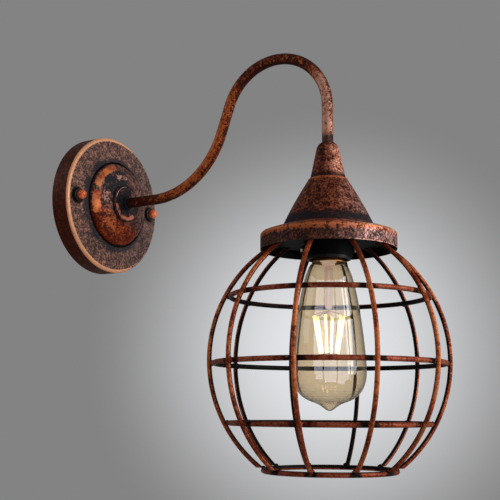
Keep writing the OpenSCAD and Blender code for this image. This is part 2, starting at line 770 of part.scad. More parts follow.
module rib_01() { rib(1); }
module rib_02() { rib(2); }
module rib_03() { rib(3); }
module rib_04() { rib(4); }
module rib_05() { rib(5); }
module rib_06() { rib(6); }
module rib_07() { rib(7); }
module rib_08() { rib(8); }
module rib_09() { rib(9); }
module rib_10() { rib(10); }

// A ring inside the ribs, at height z from the cage's widest level
module cage_ring(z) {
    angle = asin(z / ring_bend_r);
    color("#7c4329") at_lamp(cage_z + z) rotate_extrude()
        translate([rib_centre_r + ring_bend_r * cos(angle), 0]) circle(r = ring_r);
}

module ring_upper() { cage_ring(upper_ring_z); }
module ring_middle() { cage_ring(middle_ring_z); }
module ring_lower() { cage_ring(lower_ring_z); }
module ring_bottom() {
    color("#7c4329") at_lamp(mouth_z) rotate_extrude()
        translate([mouth_r, 0]) circle(r = ring_r);
}

// ---- bulb, measured from the foot of its metal cap ----

// The rounded end, a flattened bowl that runs out into a tip
function bowl(n) = [for (i = [1 : n])
    let (a = 90 - 90 * pow(1 - i / n, 1.6), r = bulb_r * pow(cos(a), 0.77))
    [r, widest_z - bowl_l * pow(sin(a), 0.77) - tip_l * exp(-pow(r / 7, 2))]];

module bulb_glass() {
    outline = concat(
        [[cap_r - 1.9, 4.6], [cap_r - 1.9, 3.4], [cap_r + 0.2, 0.3]],
        curve([neck_r, -0.4], [bulb_r - 8.4, -6.5], [bulb_r - 2, widest_z * 2 / 3],
              [bulb_r, widest_z], 16),
        bowl(18));
    color("#d8b878", 0.35) at_lamp(bulb_z) pressing(outline, glass_t);
}

module bulb_cap() {
    top = screw_cap_l - contact_h - insulator_h;
    root_r = cap_r - thread_depth;
    threads = [for (z = [thread_pitch : thread_pitch / 8 : top - 2])
        [root_r + thread_depth * wave(z), z]];
    outer = concat([[skirt_r, 0], [skirt_r, 0.5], [root_r + 1.1, 2], [root_r, 3.2]], threads,
                   [[root_r - 1.6, top]]);
    inner = [[root_r - 2.1, top - 0.4], [root_r - 0.7, top - 3], [root_r - 0.7, 3.6],
             [root_r + 0.4, 2.2], [skirt_r - 0.5, 0]];
    color("#b08a4a") at_lamp(bulb_z) rotate_extrude() polygon(concat(outer, inner));
}

module bulb_insulator() {
    low = screw_cap_l - contact_h - insulator_h;
    color("#171718") at_lamp(bulb_z + low) cylinder(h = insulator_h, r1 = cap_r - 3.2, r2 = 5);
}

module bulb_contact() {
    color("#b9b4a6") at_lamp(bulb_z + screw_cap_l - contact_h)
        cylinder(h = contact_h, r1 = 4.4, r2 = 3.2);
}

module bulb_stem() {
    color("#e8efe9", 0.5) at_lamp(bulb_z) rotate_extrude() polygon(concat(
        [[0, 4.4], [cap_r - 3.2, 4.4]],
        curve([cap_r - 3.2, 3.4], [5, 0], [4, -4], [3.6, -12], 8),
        arc([0, stem_tip_z + 3], 3, 0, -90, 6)));
}

function star(r, z, k) = [r * cos(360 * k / filament_count + 15),
                          r * sin(360 * k / filament_count + 15), z];

module filament_supports() {
    color("#c9c4b8") at_lamp(bulb_z) {
        rod([0, 0, stem_tip_z - 0.1], [0, 0, star_bottom_z], support_r);
        for (k = [0 : filament_count - 1]) {
            rod([0, 0, stem_tip_z - 1], star(star_top_r, star_top_z, k), support_r);
            rod([0, 0, star_bottom_z + 0.5], star(star_bottom_r, star_bottom_z, k), support_r);
        }
    }
}

module filaments() {
    color("#fff0b0") at_lamp(bulb_z) for (k = [0 : filament_count - 1]) {
        top = star(star_top_r, star_top_z, k);
        foot = star(star_bottom_r, star_bottom_z, k);
        along = unit(foot - top);
        rod(top + 0.9 * along, foot - 0.9 * along, filament_r);
    }
}

wall_bracket();
bracket_studs();
stud_lock_nuts();
terminal_block();
terminal_sleeves();
terminal_screws();
block_screw();
earth_screw();
earth_tags();
earth_lead();
wall_plate();
centre_dome();
arm_collar();
ball_nut_left();
ball_nut_right();
arm_washer();
arm_lock_nut();
arm_tube();
lead_live();
lead_neutral();
neck_cap();
upper_lock_nut();
shade();
shade_washer();
lower_lock_nut();
socket_cap();
socket_body();
socket_insert();
socket_terminals();
screw_shell();
centre_contact();
cage_collar();
collar_screws();
rib_01();
rib_02();
rib_03();
rib_04();
rib_05();
rib_06();
rib_07();
rib_08();
rib_09();
rib_10();
ring_upper();
ring_middle();
ring_lower();
ring_bottom();
bulb_glass();
bulb_cap();
bulb_insulator();
bulb_contact();
bulb_stem();
filament_supports();
filaments();
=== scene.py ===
"""Cage wall light: the finish of every surface, the weld beads on the cage, and the studio round it.

Metres, in the frame's axes: +X to the right seen from the room, -Y out of the wall, +Z up.
"""
import json
import math

import bpy
from mathutils import Matrix, Vector


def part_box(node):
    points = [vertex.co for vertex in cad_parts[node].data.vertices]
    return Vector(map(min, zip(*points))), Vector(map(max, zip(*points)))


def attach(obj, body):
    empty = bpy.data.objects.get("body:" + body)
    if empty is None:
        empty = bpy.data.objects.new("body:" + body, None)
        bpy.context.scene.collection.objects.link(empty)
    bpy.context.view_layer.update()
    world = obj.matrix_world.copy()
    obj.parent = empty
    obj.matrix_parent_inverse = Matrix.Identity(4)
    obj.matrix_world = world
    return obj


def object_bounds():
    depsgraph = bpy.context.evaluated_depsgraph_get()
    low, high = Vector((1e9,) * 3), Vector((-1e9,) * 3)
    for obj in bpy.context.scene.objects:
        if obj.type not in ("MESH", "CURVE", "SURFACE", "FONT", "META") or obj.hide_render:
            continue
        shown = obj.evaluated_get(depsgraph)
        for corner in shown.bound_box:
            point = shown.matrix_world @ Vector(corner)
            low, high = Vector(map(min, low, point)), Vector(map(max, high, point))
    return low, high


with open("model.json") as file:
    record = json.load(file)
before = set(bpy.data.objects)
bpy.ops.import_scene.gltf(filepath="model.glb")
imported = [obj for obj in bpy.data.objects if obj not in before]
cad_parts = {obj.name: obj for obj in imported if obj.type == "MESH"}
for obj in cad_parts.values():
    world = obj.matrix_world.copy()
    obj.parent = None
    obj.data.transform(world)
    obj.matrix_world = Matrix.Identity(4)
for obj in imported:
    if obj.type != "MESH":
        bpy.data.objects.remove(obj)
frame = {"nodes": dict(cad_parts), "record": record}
cad_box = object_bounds()
MM = 0.001


def middle(node):
    """The centre of a node's box."""
    low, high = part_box(node)
    return (low + high) / 2


# ---- places taken from the frame ----
LAMP = middle("ring_middle")  # on the lamp's axis, near the cage's widest level
LAMP_AXIS = Vector((LAMP.x, LAMP.y, 0))
RIBS = sorted(name for name in frame["nodes"] if name.startswith("rib_"))
RINGS = ("ring_upper", "ring_middle", "ring_lower", "ring_bottom")
PLATE_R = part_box("wall_plate")[1].x
PLATE_FRONT = -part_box("wall_plate")[0].y
DOME_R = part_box("centre_dome")[1].x
DOME_FRONT = -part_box("centre_dome")[0].y
COLLAR_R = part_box("arm_collar")[1].x
SHADE_LOW, SHADE_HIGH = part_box("shade")
BRIM_R = SHADE_HIGH.x
BRIM_EDGE = SHADE_LOW.z
SHADE_TOP = SHADE_HIGH.z
WIRE_R = (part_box("ring_bottom")[1].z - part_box("ring_bottom")[0].z) / 2


# ---- the camera, at the photograph's viewing angle ----
FRAME_PX = 500
FOCAL_PX = 967.4
CAMERA_AT = Vector((-732.8, -645.8, -203.6)) * MM
TURN = math.radians(57.65)  # from the wall's outward direction round to the camera's left
PITCH = math.radians(9.45)
ROLL = math.radians(0.36)


def make_camera():
    ahead = Vector((math.sin(TURN) * math.cos(PITCH), math.cos(TURN) * math.cos(PITCH), math.sin(PITCH)))
    level = Vector((math.cos(TURN), -math.sin(TURN), 0))
    upright = level.cross(ahead)
    right = level * math.cos(ROLL) + upright * math.sin(ROLL)
    up = upright * math.cos(ROLL) - level * math.sin(ROLL)
    data = bpy.data.cameras.new("camera")
    data.sensor_width = 36
    data.lens = data.sensor_width * FOCAL_PX / FRAME_PX
    data.clip_start = 0.05
    camera = bpy.data.objects.new("camera", data)
    bpy.context.scene.collection.objects.link(camera)
    camera.matrix_world = Matrix.Translation(CAMERA_AT) @ Matrix((right, up, -ahead)).transposed().to_4x4()
    bpy.context.scene.camera = camera


# ---- colours ----
def rgb(red, green, blue):
    """A colour written in screen values from 0 to 255, as the linear colour that nodes take."""
    def linear(v):
        v /= 255
        return v / 12.92 if v <= 0.04045 else ((v + 0.055) / 1.055) ** 2.4
    return (linear(red), linear(green), linear(blue), 1)


BLACK_BROWN = rgb(20, 13, 12)
BLUE_REFLECTION_BLACK = rgb(44, 48, 56)
EDGE_ORANGE = rgb(196, 108, 58)
PALE_COPPER = rgb(238, 168, 122)
PINK_COPPER = rgb(206, 148, 130)


# ---- materials ----
# In the mixed noise that draws the worn spots:
NOISE_SPAN = 0.26  # the part of its range that cover 0 to 1 runs through
SPOT_EDGE = 0.045  # half the softness of a spot's edge


class Finish:
    """A material being mixed. Each method adds one step and gives back its output."""

    def __init__(self, name):
        self.material = bpy.data.materials.new(name)
        self.material.use_nodes = True
        self.tree = self.material.node_tree
        self.shader = self.tree.nodes["Principled BSDF"]
        coordinates = self.tree.nodes.new("ShaderNodeTexCoord")
        self.place = coordinates.outputs["Object"]
        self.facing = coordinates.outputs["Normal"]

    def feed(self, socket, value):
        if isinstance(value, bpy.types.NodeSocket):
            self.tree.links.new(value, socket)
        else:
            socket.default_value = value

    def step(self, kind, *values, **settings):
        node = self.tree.nodes.new(kind)
        for key, value in settings.items():
            setattr(node, key, value)
        for socket, value in zip(node.inputs, values):
            if value is not None:
                self.feed(socket, value)
        return node

    def calc(self, operation, *values, clamp=False):
        return self.step("ShaderNodeMath", *values, operation=operation, use_clamp=clamp).outputs[0]

    def vector(self, operation, *values):
        node = self.step("ShaderNodeVectorMath", *values, operation=operation)
        return node.outputs["Value" if operation in ("LENGTH", "DOT_PRODUCT") else "Vector"]

    def noise(self, size, detail=3, roughness=0.55, distortion=0, at=None):
        """Noise whose blotches are about size metres across, from 0 to 1."""
        node = self.step("ShaderNodeTexNoise")
        self.feed(node.inputs["Vector"], at or self.place)
        for key, value in (("Scale", 1 / size), ("Detail", detail), ("Roughness", roughness),
                           ("Distortion", distortion)):
            node.inputs[key].default_value = value
        return node.outputs["Fac"]

    def between(self, value, low, high):
        """0 where value is low, 1 where it is high, smoothly between."""
        node = self.step("ShaderNodeMapRange", interpolation_type="SMOOTHSTEP")
        self.feed(node.inputs["Value"], value)
        self.feed(node.inputs["From Min"], low)
        self.feed(node.inputs["From Max"], high)
        return node.outputs["Result"]

    def blend(self, share, first, second):
        node = self.step("ShaderNodeMix", data_type="RGBA")
        self.feed(node.inputs["Factor"], share)
        for socket, value in ((node.inputs[6], first), (node.inputs[7], second)):
            self.feed(socket, value)
        return node.outputs[2]

    def either(self, *masks):
        result = masks[0]
        for mask in masks[1:]:
            result = self.calc("MAXIMUM", result, mask)
        return result

    def both(self, *masks):
        result = masks[0]
        for mask in masks[1:]:
            result = self.calc("MULTIPLY", result, mask)
        return result

    def without(self, mask):
        return self.calc("SUBTRACT", 1, mask, clamp=True)

    def axis_distance(self, centre, across):
        """Distance from the axis through centre; across is 1 in the two directions square to it, 0 along it."""
        return self.vector("LENGTH", self.vector("MULTIPLY", self.vector("SUBTRACT", self.place, centre), across))

    def along(self, direction):
        return self.vector("DOT_PRODUCT", self.place, direction)

    def towards(self, direction):
        """1 where the surface faces along direction, -1 where it faces the other way."""
        return self.vector("DOT_PRODUCT", self.facing, direction)

    def away_from(self, centre):
        """1 where the surface looks away from centre, -1 where it looks towards it."""
        outwards = self.vector("NORMALIZE", self.vector("SUBTRACT", self.place, centre))
        return self.vector("DOT_PRODUCT", outwards, self.facing)

    def band(self, value, low, high, soft):
        """1 from low to high, falling to 0 within soft on either side."""
        return self.both(self.between(value, low - soft, low + soft), self.between(value, high + soft, high - soft))

    def off_line(self, radius, level, at):
        """Distance from the circle at (radius, level), for a highlight along an edge."""
        return self.calc("SQRT", self.calc("ADD", self.calc("POWER", self.calc("SUBTRACT", radius, at[0]), 2),
                                           self.calc("POWER", self.calc("SUBTRACT", level, at[1]), 2)))

    def relief(self, height, depth, strength=1.0):
        node = self.step("ShaderNodeBump")
        self.feed(node.inputs["Height"], height)
        node.inputs["Distance"].default_value = depth
        node.inputs["Strength"].default_value = strength
        self.feed(self.shader.inputs["Normal"], node.outputs["Normal"])

    def set(self, **values):
        for key, value in values.items():
            self.feed(self.shader.inputs[key.replace("_", " ").title()], value)
        return self.material


def from_plate_axis(finish):
    return finish.axis_distance((0, 0, 0), (1, 0, 1))


def from_lamp_axis(finish):
    return finish.axis_distance(LAMP_AXIS, (1, 1, 0))


def round_plate(finish, middle_angle, half_width, soft=8):
    """1 within half_width degrees of an angle round the plate's axis, counted from +X towards +Z."""
    turn = math.radians(middle_angle)
    reach = finish.calc("DIVIDE", finish.along((math.cos(turn), 0, math.sin(turn))), from_plate_axis(finish))
    return finish.between(reach, math.cos(math.radians(half_width + soft)), math.cos(math.radians(half_width - soft)))


def toward_key_light(finish, start, end):
    """Painted light: 0 to 1 from start to end metres past the lamp's axis, towards the side that the key light falls
    on, which is drawn paler and pinker.
    """
    way = Vector((0.4, -0.92, 0))
    return finish.between(finish.along(way), LAMP_AXIS.dot(way) + start, LAMP_AXIS.dot(way) + end)


def aged(f, dark, copper, pale, cover, shadow=None, rubs_and_highlights=(), speck=2.3 * MM, bump=0.3 * MM, coat=None, polish=0):
    """Antique copper: a dark coat, copper showing through in fine specks, paler where it is rubbed most.

    cover is the share that shows copper. shadow is a mask kept dark. rubs_and_highlights are (mask, colour,
    wholeness) of places made bright, both rubbed wear and painted highlights, where wholeness 1 leaves no gaps. coat
    is (mask, colour) of a tint in the dark coat. polish from 0 to 1 makes the whole glossier.
    """
    cloud = f.noise(23 * MM, detail=3)
    mottle = f.noise(speck * 3, detail=3, roughness=0.6)
    fine = f.noise(speck, detail=3, roughness=0.7)
    amount = f.calc("ADD", f.calc("ADD", f.both(cloud, 0.13), f.both(mottle, 0.29)), f.both(fine, 0.58))
    level = f.calc("ADD", 0.5, f.both(f.calc("SUBTRACT", 0.5, cover), NOISE_SPAN))
    over = f.calc("SUBTRACT", amount, level)
    rubbed = f.between(over, -SPOT_EDGE, SPOT_EDGE)
    bright = f.both(f.between(over, 0.04, 0.13), 0.85)
    if shadow is not None:
        clear = f.without(shadow)
        rubbed, bright = f.both(rubbed, clear), f.both(bright, clear)
    if coat is not None:
        dark = f.blend(coat[0], dark, coat[1])
    colour = f.blend(bright, f.blend(rubbed, dark, copper), pale)
    # Rubbed wear and painted highlights, each laid over the colour
    for mask, tone, wholeness in rubs_and_highlights:
        ragged = f.calc("ADD", mask, f.calc("MULTIPLY", f.calc("SUBTRACT", amount, 0.5), 3.4 - 2.2 * wholeness))
        brightened = f.both(f.between(ragged, 0.42, 0.72), f.between(mask, 0.02, 0.2))
        colour = f.blend(brightened, colour, f.blend(f.between(over, -0.02, 0.12), tone, pale))
        # From here rubbed holds copper showing through, rubbed wear and painted highlights together
        rubbed = f.either(rubbed, brightened)
    pits = f.noise(1.1 * MM, detail=2)
    f.relief(f.calc("ADD", f.both(fine, 0.65), f.both(pits, 0.35)), bump, 0.45)
    roughness = f.calc("SUBTRACT", 0.54 - 0.24 * polish, f.both(rubbed, 0.1))
    f.shader.inputs["Specular IOR Level"].default_value = 0.08 + 0.5 * polish
    return f.set(base_color=colour, roughness=roughness, metallic=f.both(rubbed, 0.25))


# ---- finishes of the wall plate and what is on it ----
def plate_finish():
    f = Finish("plate_copper")
    radius = from_plate_axis(f)
    depth = f.along((0, -1, 0))
    edge = f.between(f.off_line(radius, depth, (PLATE_R - 1.7 * MM, PLATE_FRONT - 4.9 * MM)), 3.1 * MM, 1.2 * MM)
    # The rim's side is drawn darker and redder: partly its own tone, partly painted shade
    side = f.both(f.between(radius, PLATE_R - 1.2 * MM, PLATE_R - 0.4 * MM),
                  f.between(depth, PLATE_FRONT - 5 * MM, PLATE_FRONT - 6.8 * MM))
    groove = f.between(radius, DOME_R + 3.1 * MM, DOME_R + 1.7 * MM)
    # Painted reflection and shade: a bluish-black band with less copper on the lip round the groove
    lip = f.between(radius, DOME_R + 8.5 * MM, DOME_R + 3 * MM)
    inside = f.between(f.towards((0, -1, 0)), -0.3, -0.6)
    hidden = f.either(groove, inside)
    # Painted shadow: a dark ring on the face round the feet of the two nuts
    feet = [f.axis_distance(middle(name), (1, 0, 1)) for name in ("ball_nut_left", "ball_nut_right")]
    darkening = f.between(f.calc("MINIMUM", *feet), 9.5 * MM, 6.5 * MM)
    near_right = f.between(f.along((1, 0, 0)), -6 * MM, 44 * MM)
    edge_share = f.both(edge, f.calc("SUBTRACT", 1, f.both(near_right, 0.5)))
    coat = f.blend(side, f.blend(near_right, rgb(60, 47, 47), rgb(54, 43, 42)), rgb(54, 18, 6))
    coat = f.blend(f.both(lip, 0.8), coat, BLUE_REFLECTION_BLACK)
    coat = f.blend(f.either(hidden, darkening), coat, BLACK_BROWN)
    copper = f.blend(side, f.blend(near_right, rgb(130, 93, 80), rgb(104, 78, 71)), rgb(80, 32, 14))
    pale = f.blend(side, f.blend(near_right, rgb(196, 144, 122), rgb(150, 118, 108)), rgb(118, 52, 26))
    cover = f.calc("SUBTRACT", 0.54, f.either(f.both(lip, 0.35), f.both(darkening, 0.5)))
    return aged(f, coat, copper, pale, cover, shadow=hidden, speck=1.6 * MM, rubs_and_highlights=[(edge_share, PALE_COPPER, 0.75)])


def dome_finish():
    f = Finish("dome_copper")
    radius = from_plate_axis(f)
    outer = f.band(radius, DOME_R - 7 * MM, DOME_R - 0.5 * MM, 1.8 * MM)
    # Orange on the upper-left and left flank: partly worn copper, partly painted reflection
    upper_left = f.both(outer, round_plate(f, 132, 28))
    left = f.both(f.band(radius, DOME_R - 8.5 * MM, DOME_R - 0.5 * MM, 1.8 * MM), round_plate(f, 186, 17))
    top_dash = f.both(f.band(radius, 24 * MM, 30 * MM, 2.2 * MM), round_plate(f, 98, 16))
    by_collar = f.both(f.band(radius, 20 * MM, 31 * MM, 3 * MM), round_plate(f, 172, 12))
    lower_left = f.both(f.band(radius, 21 * MM, 37 * MM, 4 * MM), round_plate(f, 232, 26, 14))
    blue = f.both(f.band(radius, 17 * MM, 33 * MM, 3 * MM), round_plate(f, 118, 40, 14))
    low = f.between(f.along((-0.3, 0, -0.95)), 6 * MM, 24 * MM)
    foot = f.between(f.along((0, -1, 0)), PLATE_FRONT + 1 * MM, PLATE_FRONT - 1.5 * MM)
    coat = f.blend(f.both(blue, 0.8), f.blend(low, rgb(46, 34, 34), rgb(64, 18, 9)), rgb(34, 37, 44))
    copper = f.blend(low, rgb(116, 80, 70), rgb(124, 46, 18))
    orange = f.blend(f.between(f.noise(9 * MM), 0.4, 0.6), rgb(158, 70, 32), rgb(216, 124, 70))
    return aged(f, coat, copper, f.blend(low, rgb(170, 118, 96), rgb(176, 88, 44)),
                f.calc("SUBTRACT", 0.5, f.both(blue, 0.3)), shadow=foot,
                rubs_and_highlights=[(f.either(upper_left, left), orange, 0.6),
                      (f.both(lower_left, 0.6), rgb(160, 78, 34), 0.2),
                      (f.both(f.either(top_dash, f.both(by_collar, 0.8)), 0.62), PINK_COPPER, 0.1)])


def collar_finish():
    f = Finish("collar_copper")
    radius = from_plate_axis(f)
    rim = f.band(radius, COLLAR_R - 6 * MM, COLLAR_R - 1.6 * MM, 0.9 * MM)
    # Painted highlights: a bright crescent on the lower left of the rim and a thin pink arc along its upper left
    crescent_highlight = f.both(rim, round_plate(f, 252, 66))
    top_arc_highlight = f.both(f.band(radius, COLLAR_R - 3.2 * MM, COLLAR_R - 2 * MM, 0.7 * MM), round_plate(f, 132, 38))
    hub = f.between(radius, 9.5 * MM, 7.5 * MM)
    return aged(f, rgb(26, 26, 31), rgb(98, 62, 54), rgb(170, 116, 98), 0.34, shadow=hub,
                rubs_and_highlights=[(f.both(crescent_highlight, 0.68), rgb(196, 112, 80), 0.35),
                      (f.both(top_arc_highlight, 0.8), rgb(206, 160, 146), 0.4)])


def nut_finish():
    f = Finish("nut_copper")
    tip = -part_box("ball_nut_left")[0].y
    base = f.between(f.along((0, -1, 0)), tip - 6.2 * MM, tip - 7.2 * MM)
    return aged(f, f.blend(base, rgb(150, 52, 24), BLACK_BROWN), rgb(214, 92, 48), rgb(244, 142, 98), 0.76,
                shadow=base, speck=1.4 * MM, bump=0.03 * MM, polish=0.4)


# ---- finishes of the arm, the cones and the brim ----
def arm_finish():
    f = Finish("arm_copper")
    out, height = f.along((0, -1, 0)), f.along((0, 0, 1))
    # Painted highlight: more copper where the tube faces ±X, bright along both its sides
    flank_highlight = f.between(f.calc("ABSOLUTE", f.towards((1, 0, 0))), 0.4, 0.92)
    drop = f.both(f.between(out, -LAMP.y - 22 * MM, -LAMP.y - 4 * MM), f.between(height, 108 * MM, 86 * MM))
    hub_end = f.between(out, DOME_FRONT + 24 * MM, DOME_FRONT + 6 * MM)
    near_hub = f.between(out, DOME_FRONT + 75 * MM, DOME_FRONT + 30 * MM)
    top = f.between(height, 84 * MM, 106 * MM)
    entry = f.between(height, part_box("neck_cap")[1].z + 12 * MM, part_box("neck_cap")[1].z + 3 * MM)
    dark_end = f.either(hub_end, f.both(entry, f.between(out, -LAMP.y - 9 * MM, -LAMP.y - 7 * MM)))
    cover = f.calc("ADD", f.calc("ADD", 0.38, f.both(flank_highlight, 0.42)), f.both(drop, 0.16))
    cover = f.calc("SUBTRACT", cover, f.both(f.either(top, near_hub), 0.2))
    coat = f.blend(dark_end, rgb(52, 19, 10), rgb(26, 20, 22))
    copper = f.blend(drop, f.blend(f.either(top, near_hub), rgb(158, 72, 30), rgb(88, 34, 17)), rgb(140, 88, 66))
    return aged(f, coat, copper, f.blend(drop, rgb(190, 104, 58), rgb(208, 152, 132)), cover,
                shadow=f.both(dark_end, 0.9), speck=2 * MM)


def cone_finish():
    f = Finish("cone_copper")
    low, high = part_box("neck_cap")
    height = f.along((0, 0, 1))
    inside = f.between(f.away_from(LAMP_AXIS + Vector((0, 0, low.z))), 0.1, -0.1)
    foot = f.between(height, low.z + 6.5 * MM, low.z + 1.5 * MM)
    top = f.between(height, high.z - 4 * MM, high.z - 1 * MM)
    # Painted light: the side towards the key light gets more copper, paler and pinker
    key_lit_side = toward_key_light(f, -6 * MM, 12 * MM)
    copper = f.blend(key_lit_side, rgb(110, 50, 31), rgb(176, 108, 84))
    pale = f.blend(key_lit_side, rgb(180, 104, 76), rgb(236, 176, 152))
    cover = f.calc("SUBTRACT", f.calc("ADD", 0.56, f.both(key_lit_side, 0.09)), f.both(top, 0.2))
    return aged(f, rgb(46, 17, 11), copper, pale, cover,
                shadow=f.either(inside, f.both(foot, 0.9)), coat=(foot, rgb(20, 14, 15)), speck=2 * MM)


def shade_finish():
    f = Finish("shade_copper")
    height = f.along((0, 0, 1))
    radius = from_lamp_axis(f)
    inwards = f.vector("DOT_PRODUCT", f.facing, f.vector("NORMALIZE", f.vector(
        "MULTIPLY", f.vector("SUBTRACT", f.place, LAMP_AXIS + Vector((0, 0, BRIM_EDGE - 0.02))), (1, 1, 0.7))))
    inside = f.between(inwards, 0.05, -0.15)
    outside = f.without(inside)
    # Orange along the brim's rounded top edge: partly worn copper, partly painted highlight
    off_corner = f.off_line(radius, height, (BRIM_R - 1.2 * MM, BRIM_EDGE + 12.4 * MM))
    corner = f.between(off_corner, 2.8 * MM, 0.8 * MM)
    round_corner = f.between(off_corner, 6 * MM, 2.5 * MM)
    side = f.between(height, BRIM_EDGE + 13 * MM, BRIM_EDGE + 10 * MM)
    # Painted light: the side towards the key light gets a lighter coat and paler, pinker copper
    key_lit_side = toward_key_light(f, 2 * MM, 40 * MM)
    # Painted sheen: a pale pink band along the hem, on the side towards the key light
    hem_sheen = f.both(f.between(height, BRIM_EDGE + 1.8 * MM, BRIM_EDGE + 0.4 * MM),
                 f.between(radius, BRIM_R - 3 * MM, BRIM_R), key_lit_side)
    slope = f.band(height, BRIM_EDGE + 12.5 * MM, BRIM_EDGE + 20 * MM, 1.4 * MM)
    cone_foot = f.band(height, BRIM_EDGE + 20 * MM, BRIM_EDGE + 28 * MM, 4 * MM)
    foot_line = f.band(height, BRIM_EDGE + 19 * MM, BRIM_EDGE + 20.4 * MM, 0.8 * MM)
    # Painted highlight: an orange line round the cone's top shoulder
    shoulder_highlight = f.both(f.between(height, SHADE_TOP - 4.5 * MM, SHADE_TOP - 1.5 * MM),
                      f.between(radius, 14 * MM, 16.5 * MM))
    coat = f.blend(f.both(cone_foot, 0.85), rgb(46, 18, 12), rgb(27, 27, 31))
    coat = f.blend(side, coat, f.blend(key_lit_side, rgb(40, 25, 22), rgb(56, 42, 40)))
    coat = f.blend(inside, coat, rgb(7, 5, 5))
    copper = f.blend(key_lit_side, f.blend(side, rgb(126, 62, 40), rgb(100, 56, 42)), rgb(146, 104, 94))
    pale = f.blend(key_lit_side, f.blend(side, rgb(184, 102, 68), rgb(140, 82, 60)), rgb(208, 166, 156))
    cover = f.calc("SUBTRACT", 0.5, f.either(f.both(cone_foot, 0.3), f.both(side, f.without(key_lit_side), 0.04)))
    return aged(f, coat, copper, pale, cover, shadow=f.either(inside, f.both(cone_foot, 0.6)),
                rubs_and_highlights=[(f.both(round_corner, outside, 0.68), rgb(174, 88, 48), 0.1),
                      (f.both(corner, outside, 0.82), EDGE_ORANGE, 0.4),
                      (f.both(slope, outside, 0.5), rgb(132, 60, 34), 0.2),
                      (f.both(foot_line, outside, f.without(key_lit_side), 0.5), rgb(140, 56, 34), 0.3),
                      (f.both(shoulder_highlight, outside, 0.75), rgb(168, 86, 50), 0.4),
                      (f.both(hem_sheen, outside, 0.7), rgb(200, 136, 122), 0.3)], speck=1.9 * MM)


# ---- finishes of the cage ----
def ring_radius(name):
    """Radius of a ring's centre line."""
    low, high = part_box(name)
    return (high.x - low.x) / 2 - WIRE_R


def on_rings(f):
    """1 on the rings' own surface, 0 on the ribs."""
    masks = []
    for name in RINGS:
        off = f.off_line(from_lamp_axis(f), f.along((0, 0, 1)), (ring_radius(name), middle(name).z))
        masks.append(f.between(off, WIRE_R + 0.7 * MM, WIRE_R + 0.3 * MM))
    return f.either(*masks)


def near_ribs(f):
    """1 close to the ribs' angles round the lamp's axis."""
    spot = f.step("ShaderNodeSeparateXYZ", f.vector("SUBTRACT", f.place, LAMP_AXIS)).outputs
    turned = f.calc("SUBTRACT", f.calc("ARCTAN2", spot["Y"], spot["X"]), rib_turn())
    return f.between(f.calc("COSINE", f.calc("MULTIPLY", turned, len(RIBS))), 0.45, 0.85)


def wire_finish():
    f = Finish("wire_copper")
    # Painted shade: the side that faces the bulb is drawn near-black, standing for the cage's inside being in shade
    outside = f.between(f.away_from(LAMP), -0.45, 0.05)
    ring = on_rings(f)
    height = f.along((0, 0, 1))
    # Painted shade: less copper on the wires close under the brim
    under_brim = f.between(height, BRIM_EDGE - 16 * MM, BRIM_EDGE - 2 * MM)
    low = f.between(height, middle("ring_middle").z - 20 * MM, middle("ring_lower").z - 10 * MM)
    darkening = f.both(ring, near_ribs(f), f.between(f.noise(6 * MM), 0.32, 0.46))
    brightened = f.between(f.noise(30 * MM, detail=1), 0.42, 0.6)
    darkening_and_brim_shade = f.either(darkening, f.both(under_brim, 0.6))
    cover = f.calc("SUBTRACT", f.calc("ADD", 0.62, f.both(brightened, 0.25)), f.both(darkening_and_brim_shade, 0.9))
    coat = f.blend(darkening, f.blend(ring, rgb(96, 34, 14), rgb(74, 24, 12)), rgb(16, 10, 9))
    copper = f.blend(brightened, f.blend(ring, rgb(128, 52, 22), rgb(108, 40, 22)),
                     f.blend(ring, rgb(158, 76, 36), rgb(124, 54, 32)))
    copper = f.blend(f.both(low, 0.75), copper, rgb(108, 42, 22))
    pale = f.blend(f.both(low, 0.6), f.blend(ring, rgb(196, 112, 68), rgb(162, 86, 60)), rgb(138, 62, 38))
    # Painted shade: the side facing the bulb is kept dark and tinted near-black
    return aged(f, coat, copper, pale, cover, shadow=f.without(outside), speck=2.2 * MM,
                coat=(f.without(outside), rgb(14, 7, 6)))


def black_metal():
    f = Finish("black_metal")
    f.relief(f.noise(1.2 * MM, detail=3), 0.2 * MM, 0.3)
    f.shader.inputs["Specular IOR Level"].default_value = 0.1
    return f.set(base_color=f.blend(f.noise(9 * MM), rgb(4, 3, 3), rgb(8, 6, 5)), roughness=0.6)


def moulded(name, colour, roughness, fleck=1.15):
    """Plain moulded resin or rubber with a faint unevenness."""
    f = Finish(name)
    lighter = tuple(min(1, c * fleck) for c in colour[:3]) + (1,)
    f.relief(f.noise(1.0 * MM), 0.08 * MM, 0.3)
    f.shader.inputs["Specular IOR Level"].default_value = 0.3
    return f.set(base_color=f.blend(f.noise(5 * MM), colour, lighter), roughness=roughness)


def bare_metal(name, colour, roughness):
    """Plated or bare metal with fine scratches and a slightly uneven tone."""
    f = Finish(name)
    darker = tuple(c * 0.72 for c in colour[:3]) + (1,)
    scratches = f.noise(0.8 * MM, detail=4, roughness=0.7)
    f.relief(scratches, 0.05 * MM, 0.3)
    tone = f.blend(f.noise(7 * MM, detail=4), colour, darker)
    return f.set(base_color=tone, metallic=0.95, roughness=f.calc("ADD", roughness, f.both(scratches, 0.12)))


# ---- finishes of the bulb ----
def glass(name, tint, clearness=1.0, roughness=0.0, lit=0.0):
    """lit is the share of the filaments' light that it scatters."""
    f = Finish(name)
    f.shader.inputs["Emission Strength"].default_value = lit
    f.shader.inputs["Emission Color"].default_value = rgb(255, 232, 226)
    f.shader.inputs["Transmission Weight"].default_value = clearness
    f.shader.inputs["IOR"].default_value = 1.48
    f.relief(f.noise(22 * MM, detail=1), 0.25 * MM, 0.25)
    return f.set(base_color=tint, roughness=roughness)


